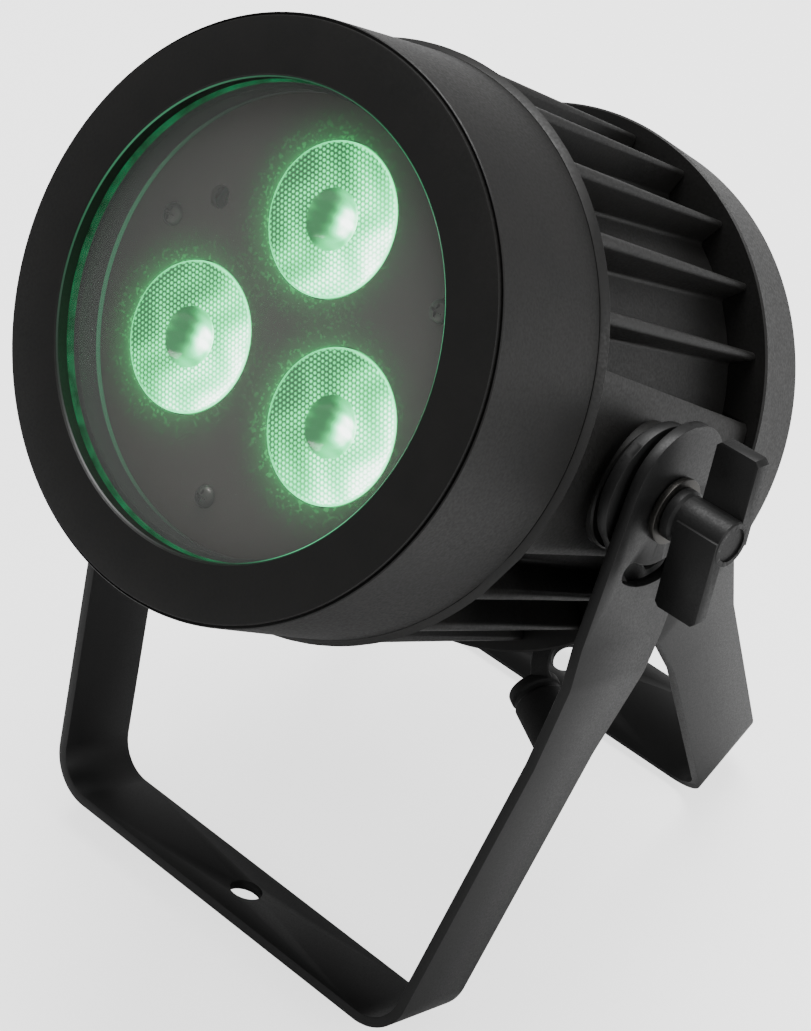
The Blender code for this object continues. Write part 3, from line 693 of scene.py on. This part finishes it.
def strap_path(outer_x, reach):
    """Stations along the strap's outer face: (x, z, outward x, outward z, half width)."""
    bend_below, slope_ratio, bend_radius, corner = 49.6 * MM, 0.152, 20 * MM, 15 * MM
    slope = math.degrees(math.atan(slope_ratio))
    bottom_x = outer_x - slope_ratio * (reach - bend_below)
    bend_back = bend_radius * math.tan(math.radians(slope / 2))
    corner_back = corner * math.tan(math.radians((90 - slope) / 2))
    half = LUG_WIDTH / 2
    arc_above = 5.5 * MM
    stations = []
    for height in (86, 82, 78, 74, 70, 65, 60, 55, 50, 45, 40, 35, 30, 25, 20, 15, 10, 5, 0):
        turn = math.radians(height)
        stations.append((outer_x, arc_above + half * math.sin(turn), 1, 0, half * math.cos(turn)))
    stations.append((outer_x, -TAPER_START, 1, 0, half))
    for centre, radius, start, end, steps in (
            ((outer_x - bend_radius, -bend_below + bend_back), bend_radius, 0, -slope, 6),
            ((bottom_x - corner_back, corner - reach), corner, -slope, -90, 24)):
        for x, z in arc(centre, radius, start, end, steps):
            out_x = (x - centre[0]) / radius
            out_z = (z - centre[1]) / radius
            share = min(1, max(0, (-z - TAPER_START) / (TAPER_END - TAPER_START)))
            width = half + share * (STRAP_WIDTH / 2 - half)
            stations.append((x, z, out_x, out_z, width))
        if start == 0:
            end_x = outer_x - slope_ratio * (TAPER_END - bend_below)
            stations.append((end_x, -TAPER_END, out_x, out_z, STRAP_WIDTH / 2))
    return stations + [(-x, z, -nx, nz, width) for x, z, nx, nz, width in reversed(stations)]


def make_bracket(name, node, outer_x, lean, side):
    """A flat strap bent to a U, with pivot holes, curved slots and a hole in the bar."""
    reach = (PIVOT.z - STRAP_WIDTH / 2 * math.sin(lean)) / math.cos(lean)
    mesh = bmesh.new()
    sections = []
    for x, z, out_x, out_z, width in strap_path(outer_x, reach):
        inner_x = x - out_x * STRAP_THICK
        inner_z = z - out_z * STRAP_THICK
        corners = ((x, -width, z), (x, width, z), (inner_x, width, inner_z), (inner_x, -width, inner_z))
        sections.append([mesh.verts.new(corner) for corner in corners])
    for first, second in zip(sections, sections[1:]):
        for i in range(4):
            j = (i + 1) % 4
            mesh.faces.new((first[i], first[j], second[j], second[i]))
    mesh.faces.new(sections[0])
    mesh.faces.new(sections[-1])
    place = Matrix.Translation(PIVOT) @ Matrix.Rotation(side * lean, 4, "X")
    bracket = add_piece(name, mesh, place, node, [node], "bracket")
    holes = bmesh.new()
    through = outer_x + 20 * MM
    prism(holes, circle((0, 0), 4.6 * MM, SMALL), -through, through, outward(1))
    radius, half, turn = 18.9 * MM, 3 * MM, 25
    end_point = (radius * math.cos(math.radians(turn)), radius * math.sin(math.radians(turn)))
    slot = arc((0, 0), radius + half, -turn, turn, 32)
    slot += arc(end_point, half, turn, turn + 180, 16)[1:-1]
    slot += arc((0, 0), radius - half, turn, -turn, 24)
    slot += arc((end_point[0], -end_point[1]), half, 180 - turn, 360 - turn, 16)[1:-1]
    prism(holes, slot, -through, through, outward(1))
    prism(holes, circle((0, 0), 4.8 * MM, SMALL), -reach - 10 * MM, -reach + 10 * MM)
    cut(bracket, holes)
    soften(bracket, 0.45 * MM)


# ---- pivot ----------------------------------------------------------------------------------

def knob_place(side):
    """The wings lean back from upright; the left knob is the same part turned round."""
    turn = math.radians(WING_TURN)
    along = (0, side * math.cos(turn), math.sin(turn))
    across = (0, -side * math.sin(turn), math.cos(turn))
    return Matrix.Translation(PIVOT) @ Matrix((along, across, (side, 0, 0))).transposed().to_4x4()


def make_knob(side, tag):
    """A moulded hub with two flat wings, one each side of the stud, and a shallow dish in its end."""
    mesh = bmesh.new()
    hub = mm((0, 90), (7, 90), (7, 92.2), (6.3, 93), (6.3, 106.9), (5.9, 107.3), (0, 107.3))
    turn_shape(mesh, hub, SMALL, Matrix())
    node = "wing_knob_" + tag
    knob = add_piece("winged_clamp_knob_" + tag, mesh, knob_place(side), node, [node], "plastic")
    outline = mm((-2, 94.2), (21.1, 94.2), (22.3, 95.4), (22.3, 105.9), (21.1, 107.1), (-2, 107.1))
    wings = bmesh.new()
    stand = Matrix.Rotation(math.pi / 2, 4, "X")
    for half_turn in (0, math.pi):
        prism(wings, outline, 2.4 * MM, 6.7 * MM, Matrix.Rotation(half_turn, 4, "Z") @ stand)
    cut(knob, wings, "UNION")
    bore = bmesh.new()
    turn_shape(bore, mm((0, 85), (4.3, 85), (4.3, 104.6), (0, 104.6)), SMALL, Matrix())
    turn_shape(bore, mm((0, 106.7), (4.6, 106.7), (4.6, 109), (0, 109)), SMALL, Matrix())
    cut(knob, bore)
    soften(knob, 0.6 * MM)


def make_pivot(side, tag):
    """The stud, three washers and knob that clamp both brackets to the head."""
    place = Matrix.Translation(PIVOT)
    rows = (
        ("threaded_clamp_stud", "clamp_stud", 0, 4.0, 57.3, 104.3, "steel", "steel"),
        ("fibre_friction_washer", "friction_washer", 4.3, 15.0, 77.3, 80.0, "rubber", "rubber"),
        ("steel_spacer_washer", "spacer_washer", 4.3, 11.0, 83.6, 84.4, "steel", "steel"),
        ("steel_knob_washer", "knob_washer", 4.3, 9.0, 88.0, 89.7, "steel", "black_steel"),
    )
    for name, node, inner, outer, near, far, slot, finish in rows:
        mesh = bmesh.new()
        section = eased(mm((inner, near), (outer, near), (outer, far), (inner, far)), 0.3 * MM)
        turn_shape(mesh, section, SMALL, outward(side))
        add_piece(name + "_" + tag, mesh, place, "head", [node + "_" + tag], finish)
    make_knob(side, tag)


# ---- hanging plug ---------------------------------------------------------------------------

def make_plug():
    """The rubber socket plug hanging under the head on its flat strap."""
    head = PIVOT + Vector((35.2, 10.8, -104.8)) * MM
    aim = Vector((0.891, -0.394, -0.200)).to_track_quat("Z", "Y").to_matrix().to_4x4()
    place = Matrix.Translation(head) @ aim
    mesh = bmesh.new()
    turn_shape(mesh, eased(mm((0, 0), (7.4, 0), (7.4, 3.0), (6.8, 3.4), (6.8, 5.0), (7.5, 5.4), (7.3, 18),
                              (6.6, 27), (5.2, 27), (5.2, 8), (0, 8)), 0.9 * MM, 4), SMALL, Matrix())
    add_piece("rubber_socket_plug", mesh, place, "head", ["socket_plug"], "rubber")
    foot = PIVOT + Vector((38.0, 11.0, -99.0)) * MM
    top = PIVOT + Vector((36.0, 14.0, -90.5)) * MM
    mesh = bmesh.new()
    rows = []
    for i in range(13):
        t = i / 12
        centre = foot.lerp(top, t) + Vector((0, -1, 0)) * (1.0 * MM * math.sin(math.pi * t))
        half = (2.5 + 0.6 * (2 * t - 1) ** 4) * MM
        sideways = Vector((0.71, 0.71, 0)) * half
        thick = Vector((0.71, -0.71, 0)) * 0.8 * MM
        rows.append([mesh.verts.new(centre + a * sideways + b * thick)
                     for a, b in ((-1, -0.5), (-0.8, -1), (0.8, -1), (1, -0.5), (1, 0.5), (0.8, 1),
                                  (-0.8, 1), (-1, 0.5))])
    for first, second in zip(rows, rows[1:]):
        for i in range(8):
            mesh.faces.new((first[i], first[(i + 1) % 8], second[(i + 1) % 8], second[i]))
    mesh.faces.new(rows[0])
    mesh.faces.new(rows[-1])
    add_piece("rubber_plug_tether", mesh, Matrix(), "head", ["plug_tether"], "rubber")


# ---- the frame's own inner pieces -----------------------------------------------------------

def finish_inner_nodes():
    """The boards and parts closed inside the head keep the frame's own meshes."""
    looks = {"led_board": "board", "driver_board": "board", "driver_transformer": "inner",
             "driver_capacitor": "inner"}
    for number in (1, 2, 3):
        looks["driver_post_%d" % number] = "steel"
    for node, finish in looks.items():
        piece = frame["nodes"][node]
        piece.data.materials.clear()
        piece.data.materials.append(FINISH[finish])


# ---- floor, light and camera ----------------------------------------------------------------

def make_stage():
    """A plain white floor and an even sky, both brighter to the eye than the light they give."""
    world = bpy.data.worlds.new("studio")
    bpy.context.scene.world = world
    world.use_nodes = True
    backdrop = world.node_tree.nodes["Background"]
    backdrop.inputs["Color"].default_value = (1, 1, 1, 1)
    seen = add_node(world.node_tree, "LightPath").outputs["Is Camera Ray"]
    shown = spread(world.node_tree, seen, 0.42, 2.3, 0, 1)
    world.node_tree.links.new(shown, backdrop.inputs["Strength"])
    mesh = bmesh.new()
    prism(mesh, circle((0, 0), 6.0, 96), -0.01, -0.0002)
    data = bpy.data.meshes.new("floor")
    mesh.to_mesh(data)
    mesh.free()
    floor = bpy.data.objects.new("floor", data)
    bpy.context.scene.collection.objects.link(floor)
    paper, tree, shader, _ = new_finish("white_paper", {"Roughness": 0.9})
    shader.inputs["Base Color"].default_value = linear("#f4f4f4")
    shader.inputs["Emission Color"].default_value = (1, 1, 1, 1)
    seen = add_node(tree, "LightPath").outputs["Is Camera Ray"]
    tree.links.new(spread(tree, seen, 0, 1.8, 0, 1), shader.inputs["Emission Strength"])
    data.materials.append(paper)


def add_light(name, place, size, power):
    data = bpy.data.lights.new(name, "AREA")
    data.energy = power
    data.size = size
    lamp = bpy.data.objects.new(name, data)
    bpy.context.scene.collection.objects.link(lamp)
    lamp.location = place
    lamp.rotation_euler = (PIVOT - Vector(place)).to_track_quat("-Z", "Y").to_euler()


def make_camera():
    """The camera looks down at the head from its right, with distances in radii of the front ring."""
    ring_radius = 75 * MM
    azimuth = math.radians(44.73)
    elevation = math.radians(40.98)
    back = Vector((math.sin(azimuth) * math.cos(elevation), -math.cos(azimuth) * math.cos(elevation),
                   math.sin(elevation)))
    right = Vector((math.cos(azimuth), math.sin(azimuth), 0))
    up = back.cross(right)
    data = bpy.data.cameras.new("camera")
    data.lens = 102.56
    camera = bpy.data.objects.new("camera", data)
    bpy.context.scene.collection.objects.link(camera)
    turn = Matrix((right, up, back)).transposed().to_4x4()
    centre = PIVOT + ring_radius * (back * 10.277 - right * 0.0417 - up * 0.5623)
    camera.matrix_world = Matrix.Translation(centre) @ turn
    bpy.context.scene.camera = camera


make_stage()
add_light("key", (-0.2, 0.5, 1.5), 0.9, 26)
add_light("side", (1.5, 0.3, 0.9), 0.7, 9)
make_camera()
make_front()
make_lip_glow()
make_plate()
make_lenses()
make_plate_screws()
make_heatsink()
make_rear()
make_bracket("front_u_bracket", "front_bracket", 87.7 * MM, FRONT_LEAN, -1)
make_bracket("rear_u_bracket", "rear_bracket", 83.3 * MM, REAR_LEAN, 1)
for end, label in ((1, "right"), (-1, "left")):
    make_pivot(end, label)
make_plug()
finish_inner_nodes()
